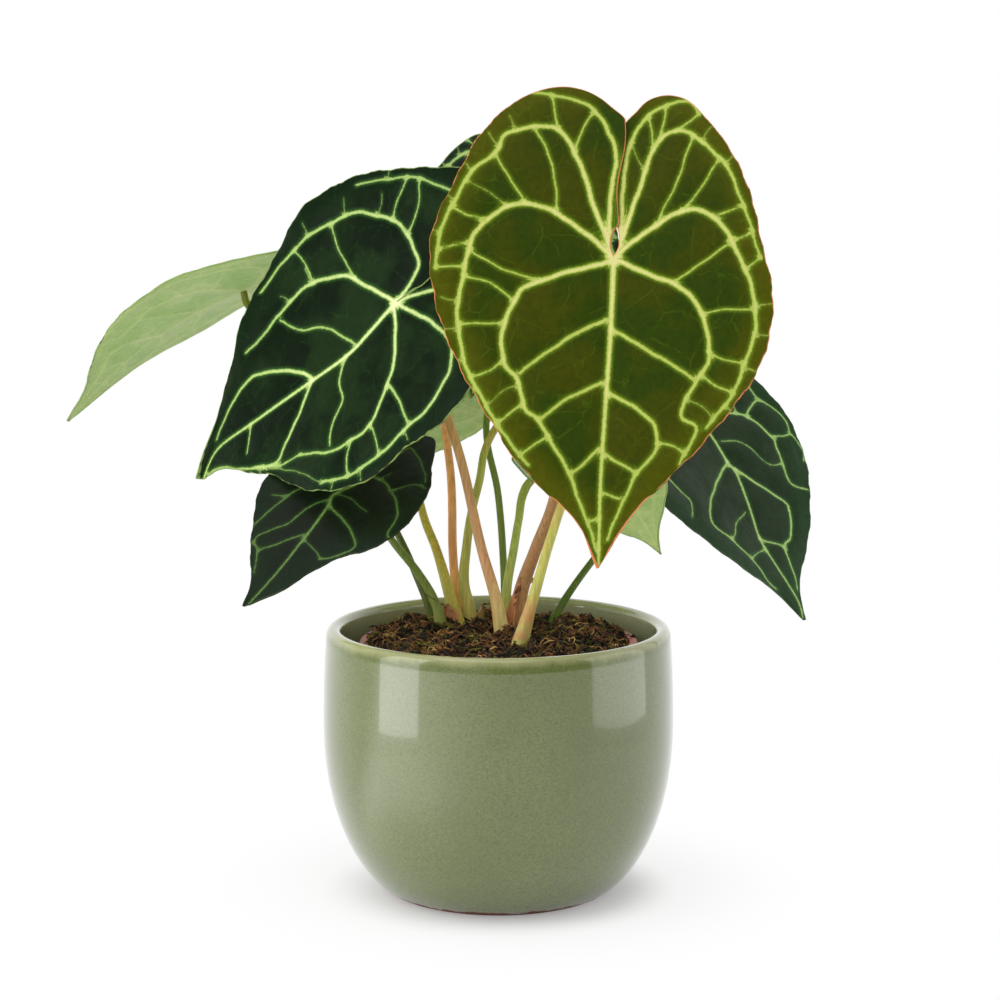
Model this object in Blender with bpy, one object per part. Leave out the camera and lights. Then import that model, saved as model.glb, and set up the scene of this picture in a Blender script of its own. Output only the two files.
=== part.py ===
"""Potted anthurium: glazed stoneware pot, nursery pot, soil, stalks, heart-shaped blades, sheaths.

All driving sizes are millimetres, turned into metres once, in the helpers.
World frame: the pot stands on z = 0, its axis is the z axis, the viewer stands on the -y side.
"""
import bmesh
import bpy
from math import atan2, cos, hypot, pi, radians, sin
from mathutils import Euler, Vector

MM = 0.001
GAP = 0.3                     # clearance left between two pieces that touch

# ---------------------------------------------------------------- pot
POT_STEPS = 48
POT_HEIGHT = 111.4
FOOT_RADIUS = 42.0            # flat ring the pot stands on
BELLY_RADIUS = 72.5
BELLY_HEIGHT = 71.0
RIM_RADIUS = 70.8             # outside of the rim
LIP = 3.0                     # radius of the rolled lip
MOUTH_RADIUS = 64.8           # inside of the rim
INNER_FLOOR = 7.0
INNER_FLOOR_RADIUS = 44.0

# ---------------------------------------------------------------- nursery pot and soil
NURSERY_STEPS = 36
NURSERY_BASE_RADIUS = 40.0
NURSERY_TOP_RADIUS = 55.0
NURSERY_RIM_RADIUS = 57.5
NURSERY_TOP = 105.0
NURSERY_RIM_DEPTH = 5.0
NURSERY_WALL = 1.2
SOIL_EDGE = 103.0             # height of the soil where it meets the nursery pot
SOIL_TOP = 106.0              # height of the flat middle the shoots stand on
SOIL_FLAT_RADIUS = 38.0

# ---------------------------------------------------------------- blades
BLADE_THICKNESS = 1.0
SINUS_HALF_GAP = 1.0          # degrees between the slit's middle and the lobe's inner edge
FOLD_ROUNDING = 8.0           # how softly the blade folds along its midrib
RINGS = (0.0, 0.08, 0.42, 0.74, 1.0)
SPOKES = (0, 3, 8, 16, 28, 42, 58, 75, 92, 110, 128, 145, 157, 167, 174)

# Outline of half a blade: distance from the stalk's joint to the edge, as a share of the
# distance from the joint to the tip, at these angles from the direction of the tip.
ANGLES = (0, 4, 10, 20, 35, 55, 75, 95, 115, 135, 150, 162, 172, 180)
USUAL = (1.00, 0.88, 0.80, 0.72, 0.63, 0.58, 0.53, 0.49, 0.48, 0.51, 0.55, 0.57, 0.52, 0.42)
FRONT_WIDE = (1.00, 0.88, 0.81, 0.74, 0.65, 0.60, 0.59, 0.60, 0.59, 0.63, 0.65, 0.63, 0.56, 0.47)
FRONT_NARROW = (1.00, 0.89, 0.80, 0.72, 0.65, 0.60, 0.54, 0.48, 0.48, 0.51, 0.55, 0.59, 0.56, 0.44)
LEFT_UPPER = (1.00, 0.90, 0.83, 0.72, 0.62, 0.56, 0.52, 0.48, 0.45, 0.46, 0.50, 0.53, 0.48, 0.42)
LOW_NEAR = (1.00, 0.92, 0.84, 0.67, 0.56, 0.57, 0.57, 0.53, 0.51, 0.49, 0.53, 0.57, 0.52, 0.42)
LEFT_LOWER = (1.00, 0.92, 0.83, 0.73, 0.68, 0.62, 0.53, 0.51, 0.49, 0.50, 0.52, 0.53, 0.48, 0.42)

# seat: where the stalk joins the blade.  heading: compass bearing of the tip from the seat
# (0 = +x, 90 = +y).  drop: how far the tip points below level.  roll: turn about the midrib.
# bend, lobe_bend: droop towards the tip and towards the lobes, degrees per centimetre.
# fold: how far each half is lifted.  left and right: the two half outlines.
# foot: where the stalk stands on the soil.  route: points it passes.  thick: radius at
# the foot, at the middle and at the blade.
LEAVES = {
    "front": dict(length=122, seat=(45, -45, 266), heading=-101, drop=69, roll=0,
                  bend=0.8, lobe_bend=1.5, fold=4, left=FRONT_WIDE, right=FRONT_NARROW,
                  foot=(6.5, 13), thick=(3.6, 2.2, 1.9),
                  route=((9, 10, 122), (15, 1, 142), (22, -10, 163), (25, -19, 180),
                         (31, -31, 205), (43, -35, 245), (49, -34, 264))),
    "left": dict(length=125, seat=(-42, -2, 245), heading=155, drop=34, roll=67,
                 bend=1.0, lobe_bend=0.5, fold=6, left=LEFT_UPPER, right=LEFT_LOWER,
                 foot=(2, 1), thick=(3.3, 2.2, 1.7),
                 route=((-1, 1, 122), (-7, 3, 143), (-15, 5, 178), (-21, 8, 198),
                        (-30, 10, 230))),
    "low": dict(length=69, seat=(-60, 5, 169), heading=-143, drop=36, roll=20,
                bend=1.5, lobe_bend=1.0, fold=6, left=USUAL, right=LOW_NEAR,
                foot=(-23, 14), thick=(2.3, 1.8, 1.2),
                route=((-26, 14, 117), (-33, 14, 130), (-43, 13, 143), (-53, 13, 157))),
    "right": dict(length=101, seat=(81, 55, 191), heading=-40, drop=48, roll=-7,
                  bend=1.0, lobe_bend=1.0, fold=6, left=USUAL, right=USUAL,
                  foot=(21, 22), thick=(1.6, 1.4, 1.3),
                  route=((26, 26, 114), (31.5, 29, 122), (40, 35, 132.5), (55, 46, 150),
                         (70, 60, 173))),
    "back": dict(length=106, seat=(-110, 102, 243), heading=166, drop=20, roll=-9,
                 bend=3.0, lobe_bend=1.0, fold=6, left=USUAL, right=USUAL,
                 foot=(-27, 26), thick=(2.0, 1.6, 1.3),
                 route=((-30, 27, 116), (-35, 29, 128), (-40, 32, 139), (-68, 46, 188),
                        (-98, 88, 228))),
    "middle": dict(length=66, seat=(-38, 92, 190), heading=0, drop=-26, roll=50,
                   bend=1.0, lobe_bend=1.0, fold=5, left=USUAL, right=USUAL,
                   foot=(-17, 21), thick=(3.8, 2.0, 1.4),
                   route=((-20, 22, 118), (-26, 31, 137), (-32, 42, 151), (-37, 70, 176))),
    "top": dict(length=78, seat=(0, 78, 271), heading=-110, drop=65, roll=0,
                bend=1.0, lobe_bend=1.0, fold=5, left=USUAL, right=USUAL,
                foot=(-16, 34), thick=(2.0, 1.9, 1.4),
                route=((-19, 36, 130), (-20, 41, 165), (-24, 60, 205), (-15, 84, 245))),
    "rear": dict(length=54, seat=(24, 52, 268), heading=-95, drop=68, roll=0,
                 bend=1.0, lobe_bend=1.0, fold=5, left=USUAL, right=USUAL,
                 foot=(4, 32), thick=(1.6, 1.5, 1.2),
                 route=((3, 33, 130), (1, 32, 160), (-4, 33, 193), (9, 46, 236))),
    "inner": dict(length=44, seat=(25, 23, 222), heading=-85, drop=68, roll=0,
                  bend=1.0, lobe_bend=1.0, fold=5, left=USUAL, right=USUAL,
                  foot=(-10, 26), thick=(2.7, 1.8, 1.3),
                  route=((-14.5, 26, 124), (-13, 25, 147), (-9, 24, 164), (-4, 22, 183),
                         (15, 25, 205))),
    "centre": dict(length=30, seat=(20, 37, 172), heading=110, drop=-14, roll=0,
                   bend=1.0, lobe_bend=2.0, fold=5, left=USUAL, right=USUAL,
                   foot=(2, 23), thick=(2.0, 1.9, 1.4),
                   route=((4, 24, 126), (7, 26, 138), (10, 30, 151), (13.5, 35, 161))),
    "under": dict(length=54, seat=(40, -6, 190), heading=-22, drop=57, roll=84,
                  bend=1.0, lobe_bend=1.0, fold=5, left=USUAL, right=USUAL,
                  foot=(8.5, -17), thick=(3.4, 2.0, 1.6),
                  route=((13, -18, 122), (17, -18, 136), (21, -18, 150), (28.5, -17, 171))),
}

# Sheaths: papery scales left round the shoots.  centre and radius of the half tube, the
# bearing it faces, its sweep, its height and how far its point leans out.
SHEATHS = {
    "pink_sheath": dict(centre=(2, 1), radius=4.4, facing=35, sweep=110, height=26, lean=2.0),
    "red_sheath": dict(centre=(-17, 21), radius=4.9, facing=215, sweep=120, height=17, lean=1.0),
    "straw_sheath": dict(centre=(-10, 26), radius=3.7, facing=-40, sweep=100, height=20, lean=1.5),
}

COLOURS = {
    "pot": (0.30, 0.38, 0.24), "nursery_pot": (0.24, 0.09, 0.05), "soil": (0.09, 0.05, 0.03),
    "blade": (0.03, 0.10, 0.03), "petiole": (0.25, 0.33, 0.09), "sheath": (0.45, 0.20, 0.12),
}


def clear_scene():
    for thing in list(bpy.data.objects):
        bpy.data.objects.remove(thing, do_unlink=True)


def material_for(name, colour, roughness):
    material = bpy.data.materials.new(name + "_material")
    material.use_nodes = True
    shader = material.node_tree.nodes["Principled BSDF"]
    shader.inputs["Base Color"].default_value = (*colour, 1.0)
    shader.inputs["Roughness"].default_value = roughness
    material.diffuse_color = (*colour, 1.0)
    return material


def object_from(bm, name, colour, roughness):
    bmesh.ops.recalc_face_normals(bm, faces=bm.faces)
    mesh = bpy.data.meshes.new(name)
    bm.to_mesh(mesh)
    bm.free()
    mesh.shade_smooth()
    mesh.materials.append(material_for(name, colour, roughness))
    thing = bpy.data.objects.new(name, mesh)
    bpy.context.collection.objects.link(thing)
    return thing


def lathe(name, profile, steps, colour, roughness):
    """Spin a profile of (radius, height) points round the z axis."""
    bm = bmesh.new()
    points = [bm.verts.new((r * MM, 0.0, z * MM)) for r, z in profile]
    edges = [bm.edges.new(pair) for pair in zip(points, points[1:])]
    bmesh.ops.spin(bm, geom=points + edges, cent=(0, 0, 0), axis=(0, 0, 1),
                   angle=2 * pi, steps=steps, use_merge=True)
    bmesh.ops.remove_doubles(bm, verts=bm.verts, dist=1e-6)
    return object_from(bm, name, colour, roughness)


# ---------------------------------------------------------------- pot, nursery pot and soil
def bowl_radius(height):
    """Outside radius of the bowl at a height below the belly."""
    share = 1.0 - height / BELLY_HEIGHT
    turn = (1.0 - share ** 2.13) ** 0.5
    return FOOT_RADIUS + (BELLY_RADIUS - FOOT_RADIUS) * turn ** 1.25


def wall_radius(height):
    """Outside radius of the wall above the belly."""
    share = (height - BELLY_HEIGHT) / (POT_HEIGHT - BELLY_HEIGHT)
    return BELLY_RADIUS - (BELLY_RADIUS - RIM_RADIUS) * share ** 2


def add_pot():
    lip_middle = POT_HEIGHT - LIP
    outside = [(0.0, 0.0), (FOOT_RADIUS, 0.0)]
    outside += [(bowl_radius(z), z) for z in (0.8, 2.5, 5.0, 9.0, 15.0, 24.0, 36.0, 52.0)]
    outside += [(wall_radius(z), z) for z in (BELLY_HEIGHT, 90.0, 104.0, lip_middle)]
    lip = [(RIM_RADIUS - LIP + LIP * cos(radians(a)), lip_middle + LIP * sin(radians(a)))
           for a in (35, 65, 90, 120, 150)]
    inside = [(MOUTH_RADIUS, lip_middle - 2.0), (MOUTH_RADIUS + 1.0, 92.0),
              (MOUTH_RADIUS + 1.6, BELLY_HEIGHT), (61.5, 36.0), (53.0, 15.0),
              (INNER_FLOOR_RADIUS, INNER_FLOOR), (0.0, INNER_FLOOR)]
    lathe("pot", outside + lip + inside, POT_STEPS, COLOURS["pot"], 0.25)


def nursery_radius(height):
    """Outside radius of the nursery pot's tapered wall."""
    low = INNER_FLOOR + GAP
    share = (height - low) / (NURSERY_TOP - low)
    return NURSERY_BASE_RADIUS + (NURSERY_TOP_RADIUS - NURSERY_BASE_RADIUS) * share


def add_nursery_pot():
    low = INNER_FLOOR + GAP
    rim = NURSERY_TOP - NURSERY_RIM_DEPTH
    wall = NURSERY_WALL
    profile = [(0.0, low), (NURSERY_BASE_RADIUS - 1.5, low), (NURSERY_BASE_RADIUS, low + 1.5),
               (nursery_radius(rim), rim), (NURSERY_RIM_RADIUS, rim),
               (NURSERY_RIM_RADIUS, NURSERY_TOP - 0.5), (NURSERY_RIM_RADIUS - 0.5, NURSERY_TOP),
               (nursery_radius(NURSERY_TOP) - wall, NURSERY_TOP),
               (nursery_radius(low + wall) - wall, low + wall), (0.0, low + wall)]
    lathe("nursery_pot", profile, NURSERY_STEPS, COLOURS["nursery_pot"], 0.5)


def add_soil():
    clear = NURSERY_WALL + GAP + 0.1
    low = INNER_FLOOR + GAP + NURSERY_WALL + GAP
    edge = nursery_radius(SOIL_EDGE) - clear
    profile = [(0.0, low), (nursery_radius(low) - clear, low), (edge, SOIL_EDGE),
               (edge - 6.0, SOIL_EDGE + 1.6), (SOIL_FLAT_RADIUS, SOIL_TOP), (0.0, SOIL_TOP)]
    lathe("soil", profile, NURSERY_STEPS, COLOURS["soil"], 0.95)


# ---------------------------------------------------------------- blades
def half_outline(shares, angle):
    """Edge distance at an angle: a smooth curve through the design shares."""
    last = len(ANGLES) - 1
    i = max(k for k in range(last) if ANGLES[k] <= angle)
    span = ANGLES[i + 1] - ANGLES[i]
    u = (angle - ANGLES[i]) / span
    ahead = ANGLES[min(i + 2, last)] - ANGLES[i]
    behind = ANGLES[i + 1] - ANGLES[max(i - 1, 0)]
    m0 = (shares[i + 1] - shares[max(i - 1, 0)]) / behind * span
    m1 = (shares[min(i + 2, last)] - shares[i]) / ahead * span
    a, b = shares[i], shares[i + 1]
    return ((2 * u ** 3 - 3 * u ** 2 + 1) * a + (u ** 3 - 2 * u ** 2 + u) * m0
            + (3 * u ** 2 - 2 * u ** 3) * b + (u ** 3 - u ** 2) * m1)


def edge_distance(leaf, angle):
    shares = leaf["right"] if angle >= 0 else leaf["left"]
    return leaf["length"] * half_outline(shares, min(abs(angle), 180.0))


def blade_point(leaf, side, along):
    """Point of the upper face: x to the side, -y to the tip, z out of the upper face."""
    rate = radians(leaf["bend"] if along > 0 else leaf["lobe_bend"]) / 10.0
    turn = rate * along
    lift = hypot(side, FOLD_ROUNDING) - FOLD_ROUNDING
    lift *= sin(radians(leaf["fold"]))
    forward = sin(turn) / rate + lift * sin(turn)
    height = (cos(turn) - 1.0) / rate + lift * cos(turn)
    return Vector((side * cos(radians(leaf["fold"])), -forward, height)) * MM


def leaf_turn(leaf):
    angles = (leaf["drop"], leaf["roll"], leaf["heading"] + 90)
    return Euler([radians(a) for a in angles], "YXZ")


def spoke_angles():
    right = [float(a) for a in SPOKES] + [180.0 - SINUS_HALF_GAP]
    return [-a for a in reversed(right[1:])] + right


def blade_sheet(leaf):
    """Upper face: a grid wrapped into spokes and rings round the stalk's joint."""
    angles = spoke_angles()
    bm = bmesh.new()
    bmesh.ops.create_grid(bm, x_segments=len(angles) - 1, y_segments=len(RINGS) - 1, size=0.5)
    for vert in bm.verts:
        spoke = round((vert.co.x + 0.5) * (len(angles) - 1))
        ring = round((vert.co.y + 0.5) * (len(RINGS) - 1))
        angle = angles[spoke]
        reach = edge_distance(leaf, angle) * RINGS[ring]
        vert.co = blade_point(leaf, reach * sin(radians(angle)), reach * cos(radians(angle)))
    bmesh.ops.remove_doubles(bm, verts=bm.verts, dist=1e-6)
    bmesh.ops.recalc_face_normals(bm, faces=bm.faces)
    if sum(face.normal.z for face in bm.faces) < 0:
        bmesh.ops.reverse_faces(bm, faces=bm.faces)
    return bm


def add_blade(name, leaf):
    bm = blade_sheet(leaf)
    bmesh.ops.solidify(bm, geom=bm.verts[:] + bm.edges[:] + bm.faces[:],
                       thickness=BLADE_THICKNESS * MM)
    blade = object_from(bm, name + "_blade", COLOURS["blade"], 0.45)
    blade.location = Vector(leaf["seat"]) * MM
    blade.rotation_mode = "YXZ"
    blade.rotation_euler = leaf_turn(leaf)


# ---------------------------------------------------------------- stalks and sheaths
def stalk_points(leaf, facing):
    """Foot, route, and the short turn that meets the blade's underside square on."""
    foot = Vector((*leaf["foot"], SOIL_TOP + GAP))
    points = [foot, foot + Vector((0, 0, 5))]
    points += [Vector(p) for p in leaf["route"]]
    tipwards = leaf_turn(leaf).to_matrix() @ Vector((0, -1, 0))
    seat = Vector(leaf["seat"]) + tipwards * 3.0 - facing * (BLADE_THICKNESS + GAP + 0.05)
    points += [seat - facing * 7.0, seat]
    return [p * MM for p in points]


def aim(knots, direction, reach):
    """Make the curve run straight along one direction at these knots."""
    for knot in knots:
        knot.handle_left_type = knot.handle_right_type = "ALIGNED"
        knot.handle_left = knot.co - direction * reach * MM
        knot.handle_right = knot.co + direction * reach * MM


def add_stalk(name, leaf):
    facing = leaf_turn(leaf).to_matrix() @ Vector((0, 0, 1))
    points = stalk_points(leaf, facing)
    curve = bpy.data.curves.new(name + "_petiole", "CURVE")
    curve.dimensions = "3D"
    curve.resolution_u = 2
    curve.bevel_depth = MM
    curve.bevel_resolution = 2
    curve.use_fill_caps = True
    spline = curve.splines.new("BEZIER")
    spline.bezier_points.add(len(points) - 1)
    low, middle, high = leaf["thick"]
    for i, (knot, point) in enumerate(zip(spline.bezier_points, points)):
        share = i / (len(points) - 1)
        knot.co = point
        knot.handle_left_type = knot.handle_right_type = "AUTO"
        knot.radius = low + (middle - low) * min(1, share / 0.4)
        if share > 0.6:
            knot.radius += (high - middle) * (share - 0.6) / 0.4
    aim(spline.bezier_points[:2], Vector((0, 0, 1)), 1.6)
    aim(spline.bezier_points[-2:], facing, 2.3)
    stalk = bpy.data.objects.new(name + "_petiole", curve)
    curve.materials.append(material_for(name + "_petiole", COLOURS["petiole"], 0.5))
    bpy.context.collection.objects.link(stalk)


def sheath_point(sheath, across, up):
    """Point of a sheath: across runs -1 to 1 round the tube, up 0 to 1 to its point."""
    width = (1.0 - up ** 2.2) * 0.82 + 0.18
    bearing = radians(sheath["facing"] + across * width * sheath["sweep"] / 2)
    radius = sheath["radius"] + sheath["lean"] * up ** 2
    height = SOIL_TOP + GAP + sheath["height"] * up * (1.0 - 0.12 * across ** 2)
    x, y = sheath["centre"]
    return Vector((x + radius * cos(bearing), y + radius * sin(bearing), height)) * MM


def add_sheath(name, sheath):
    bm = bmesh.new()
    bmesh.ops.create_grid(bm, x_segments=5, y_segments=5, size=0.5)
    for vert in bm.verts:
        vert.co = sheath_point(sheath, vert.co.x * 2.0, vert.co.y + 0.5)
    bmesh.ops.recalc_face_normals(bm, faces=bm.faces)
    facing = Vector((cos(radians(sheath["facing"])), sin(radians(sheath["facing"])), 0))
    if sum(face.normal.dot(facing) for face in bm.faces) < 0:
        bmesh.ops.reverse_faces(bm, faces=bm.faces)
    bmesh.ops.triangulate(bm, faces=bm.faces)
    bmesh.ops.solidify(bm, geom=bm.verts[:] + bm.edges[:] + bm.faces[:], thickness=-0.6 * MM)
    bmesh.ops.triangulate(bm, faces=bm.faces)
    object_from(bm, name, COLOURS["sheath"], 0.7)


def main():
    clear_scene()
    add_pot()
    add_nursery_pot()
    add_soil()
    for name, leaf in LEAVES.items():
        add_stalk(name, leaf)
        add_blade(name, leaf)
    for name, sheath in SHEATHS.items():
        add_sheath(name, sheath)


main()
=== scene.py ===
# %% [markdown]
# # Potted anthurium
# This lesson dresses a velvet-leaved anthurium in a glazed pot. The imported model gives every
# piece its place. Each blade, stalk and sheath gets a finer shape here, and then its finish.

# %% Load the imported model
from math import cos, pi, radians, sin

import bmesh
import bpy
import numpy as np
from mathutils import Euler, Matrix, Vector, noise


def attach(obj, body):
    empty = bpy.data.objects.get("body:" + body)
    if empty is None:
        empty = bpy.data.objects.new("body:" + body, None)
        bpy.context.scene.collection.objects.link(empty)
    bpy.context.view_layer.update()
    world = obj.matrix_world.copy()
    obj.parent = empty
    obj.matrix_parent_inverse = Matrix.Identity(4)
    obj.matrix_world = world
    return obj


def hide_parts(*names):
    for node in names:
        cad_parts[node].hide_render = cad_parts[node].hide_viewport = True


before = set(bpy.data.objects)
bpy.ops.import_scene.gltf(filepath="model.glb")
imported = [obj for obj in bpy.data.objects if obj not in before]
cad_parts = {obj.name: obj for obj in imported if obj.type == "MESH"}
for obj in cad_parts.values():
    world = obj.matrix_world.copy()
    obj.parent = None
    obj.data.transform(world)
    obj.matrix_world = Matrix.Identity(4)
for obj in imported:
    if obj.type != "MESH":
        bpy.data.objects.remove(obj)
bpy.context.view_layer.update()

MM = 0.001
print("nodes in the packed model:", len(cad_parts))

# %% [markdown]
# ## Colours
# Colours are noted down as a display shows them, from 0 to 255, and a shader wants them
# linear. One small function turns the first into the second.


# %% Colour helper
def paint(red, green, blue):
    """Display colour, 0 to 255, as the linear colour a shader wants."""
    shares = [c / 255.0 for c in (red, green, blue)]
    linear = [s / 12.92 if s <= 0.04045 else ((s + 0.055) / 1.055) ** 2.4 for s in shares]
    return (*linear, 1.0)


print("glaze green is", [round(c, 3) for c in paint(140, 155, 112)])

# %% [markdown]
# ## Small shader helpers
# A finish is a net of small nodes that are wired to each other. These helpers add a node and
# wire it in one call, so that each effect below reads as a short list of steps. The nodes can
# also be set up one by one, but then the wiring hides what the effect does.


# %% Node helpers
class Nodes:
    """A node tree, with short ways to add nodes and to wire them."""

    def __init__(self, tree):
        self.tree = tree

    def wire(self, node, inputs):
        """Set or link a node's inputs, by name or number."""
        for key, value in inputs.items():
            socket = node.inputs[key]
            if isinstance(value, bpy.types.NodeSocket):
                self.tree.links.new(value, socket)
            else:
                socket.default_value = value
        return node

    def node(self, kind, inputs=(), **settings):
        """A new node of a kind, with its settings and its inputs."""
        node = self.tree.nodes.new("ShaderNode" + kind)
        for name, value in settings.items():
            setattr(node, name, value)
        return self.wire(node, dict(inputs))

    def math(self, operation, a, b=0.0):
        return self.node("Math", {0: a, 1: b}, operation=operation).outputs[0]

    def add(self, a, b):
        return self.math("ADD", a, b)

    def less(self, a, b):
        return self.math("SUBTRACT", a, b)

    def times(self, a, b):
        return self.math("MULTIPLY", a, b)

    def most(self, a, b):
        return self.math("MAXIMUM", a, b)

    def fade(self, value, start, end, low=0.0, high=1.0):
        """A smooth step: low at start and before, high at end and after."""
        inputs = {0: value, 1: start, 2: end, 3: low, 4: high}
        return self.node("MapRange", inputs, interpolation_type="SMOOTHSTEP").outputs[0]

    def blend(self, share, first, second, mode="MIX"):
        node = self.node("Mix", data_type="RGBA", blend_type=mode)
        return self.wire(node, {0: share, 6: first, 7: second}).outputs[2]

    def place(self, scale=(1, 1, 1)):
        """Object coordinates, stretched."""
        where = self.node("TexCoord").outputs["Object"]
        return self.node("Mapping", {0: where, 3: scale}).outputs[0]

    def axes(self, where):
        return self.node("SeparateXYZ", {0: where}).outputs

    def length(self, where):
        return self.node("VectorMath", {0: where}, operation="LENGTH").outputs["Value"]

    def clouds(self, where, scale, detail=2.0, rough=0.5):
        values = {"Vector": where, "Scale": scale, "Detail": detail, "Roughness": rough}
        return self.node("TexNoise", values).outputs[0]

    def stored(self, name):
        """A number kept on the mesh's points."""
        return self.node("Attribute", attribute_name=name).outputs["Fac"]


print("node helpers ready")

# %% [markdown]
# ## Paint groups and finishes
# An effect that several materials share becomes a paint group: it takes colours and gives
# back one colour and one height. Each material keeps its own shader and only links to it.

# %% Paint group and finish helpers
class PaintGroup(Nodes):
    """A node group that gives a colour and a height from its named inputs."""

    def __init__(self, name, **inputs):
        super().__init__(bpy.data.node_groups.new(name, "ShaderNodeTree"))
        sockets = self.tree.interface
        for label, start in inputs.items():
            kind = "NodeSocketFloat" if isinstance(start, float) else "NodeSocketColor"
            socket = sockets.new_socket(label.replace("_", " "), in_out="INPUT", socket_type=kind)
            socket.default_value = start
        for label, kind in (("Color", "NodeSocketColor"), ("Height", "NodeSocketFloat")):
            sockets.new_socket(label, in_out="OUTPUT", socket_type=kind)
        self.given = self.tree.nodes.new("NodeGroupInput").outputs

    def finish(self, colour, height):
        self.wire(self.tree.nodes.new("NodeGroupOutput"), {"Color": colour, "Height": height})
        print(self.tree.name, "has", len(self.tree.nodes), "nodes")


class Finish(Nodes):
    """A material, with ways to set or link the sockets of its shader."""

    def __init__(self, name, **values):
        self.material = bpy.data.materials.new(name)
        self.material.use_nodes = True
        super().__init__(self.material.node_tree)
        self.look(**values)

    def look(self, **values):
        named = {label.replace("_", " "): value for label, value in values.items()}
        self.wire(self.tree.nodes["Principled BSDF"], named)

    def bump(self, height, distance, strength=1.0):
        inputs = {"Strength": strength, "Distance": distance, "Height": height}
        self.look(Normal=self.node("Bump", inputs).outputs[0])

    def painted(self, group, distance, strength, **inputs):
        """Colour and bump from a paint group with its own inputs."""
        node = self.node("Group", node_tree=group.tree)
        self.wire(node, {label.replace("_", " "): value for label, value in inputs.items()})
        self.look(Base_Color=node.outputs["Color"])
        self.bump(node.outputs["Height"], distance, strength)


print("paint groups and finishes ready")

# %% [markdown]
# ## The shape of a blade
# An anthurium blade is a heart: a long drawn-out tip, two lobes behind the stalk's joint and
# a narrow slit between them. Its outline is given by its distance from the joint at fourteen
# angles, and a smooth curve runs through them. The blade then droops, folds a little along
# its midrib and turns in space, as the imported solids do.

# %% Leaf table
ANGLES = (0, 4, 10, 20, 35, 55, 75, 95, 115, 135, 150, 162, 172, 180)
USUAL = (1.00, 0.88, 0.80, 0.72, 0.63, 0.58, 0.53, 0.49, 0.48, 0.51, 0.55, 0.57, 0.52, 0.42)
FRONT_WIDE = (1.00, 0.88, 0.81, 0.74, 0.65, 0.60, 0.59, 0.60, 0.59, 0.63, 0.65, 0.63, 0.56, 0.47)
FRONT_NARROW = (1.00, 0.89, 0.80, 0.72, 0.65, 0.60, 0.54, 0.48, 0.48, 0.51, 0.55, 0.59, 0.56, 0.44)
LEFT_UPPER = (1.00, 0.90, 0.83, 0.72, 0.62, 0.56, 0.52, 0.48, 0.45, 0.46, 0.50, 0.53, 0.48, 0.42)
LOW_NEAR = (1.00, 0.92, 0.84, 0.67, 0.56, 0.57, 0.57, 0.53, 0.51, 0.49, 0.53, 0.57, 0.52, 0.42)
LEFT_LOWER = (1.00, 0.92, 0.83, 0.73, 0.68, 0.62, 0.53, 0.51, 0.49, 0.50, 0.52, 0.53, 0.48, 0.42)


def leaf_facts(length, seat, turn, rows, **special):
    """Length and seat in millimetres; turn: drop, roll and heading in degrees; rows of the
    grid in each half; bend: droop of the tip and of the lobes in degrees per centimetre;
    drip: how far the tip moves aside and on; opening: width of the eye at the joint."""
    usual = dict(bend=(1.0, 1.0), fold=5, left=USUAL, right=USUAL, columns=rows // 2, wave=0.7,
                 opening=0.0, drip=(0.0, 0.0))
    return {**usual, **dict(length=length, seat=seat, turn=turn, rows=rows), **special}


LEAVES = {
    "front": leaf_facts(122, (45, -45, 266), (69, 0, -101), 215, columns=104, bend=(0.8, 1.5),
                        fold=4, left=FRONT_WIDE, right=FRONT_NARROW, opening=1.5),
    "left": leaf_facts(125, (-42, -2, 245), (34, 67, 155), 205, columns=100, bend=(1.0, 0.5),
                       fold=6, left=LEFT_UPPER, right=LEFT_LOWER, wave=1.8, drip=(5.0, 4.0)),
    "low": leaf_facts(69, (-60, 5, 169), (36, 20, -143), 128, bend=(1.5, 1.0), fold=6,
                      right=LOW_NEAR),
    "right": leaf_facts(101, (81, 55, 191), (48, -7, -40), 144, fold=6),
    "back": leaf_facts(106, (-110, 102, 243), (20, -9, 166), 104, bend=(3.0, 1.0), fold=6),
    "middle": leaf_facts(66, (-38, 92, 190), (-26, 50, 0), 88),
    "top": leaf_facts(78, (-1.8, 78, 272.5), (65, 0, -110), 100),
    "rear": leaf_facts(54, (24, 52, 268), (68, 0, -95), 68),
    "inner": leaf_facts(44, (25, 23, 222), (68, 0, -85), 64),
    "centre": leaf_facts(24, (15.5, 37, 168), (0, -36, 92), 56, bend=(1.0, 2.0)),
    "under": leaf_facts(54, (40, -6, 190), (57, 84, -22), 76),
}
print(len(LEAVES), "leaves")

# %% Outline of half a blade
SLIT = 1.0                    # half the slit between the lobes, in degrees


def outline_angles():
    """Fine angles round half a blade, closest near the tip."""
    return np.concatenate([np.linspace(0, 12, 60)[:-1], np.linspace(12, 180 - SLIT, 260)])


def hermite(u, first, last, start, end):
    """A cubic from first to last with these slopes."""
    return ((2 * u ** 3 - 3 * u ** 2 + 1) * first + (u ** 3 - 2 * u ** 2 + u) * start
            + (3 * u ** 2 - 2 * u ** 3) * last + (u ** 3 - u ** 2) * end)


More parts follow.
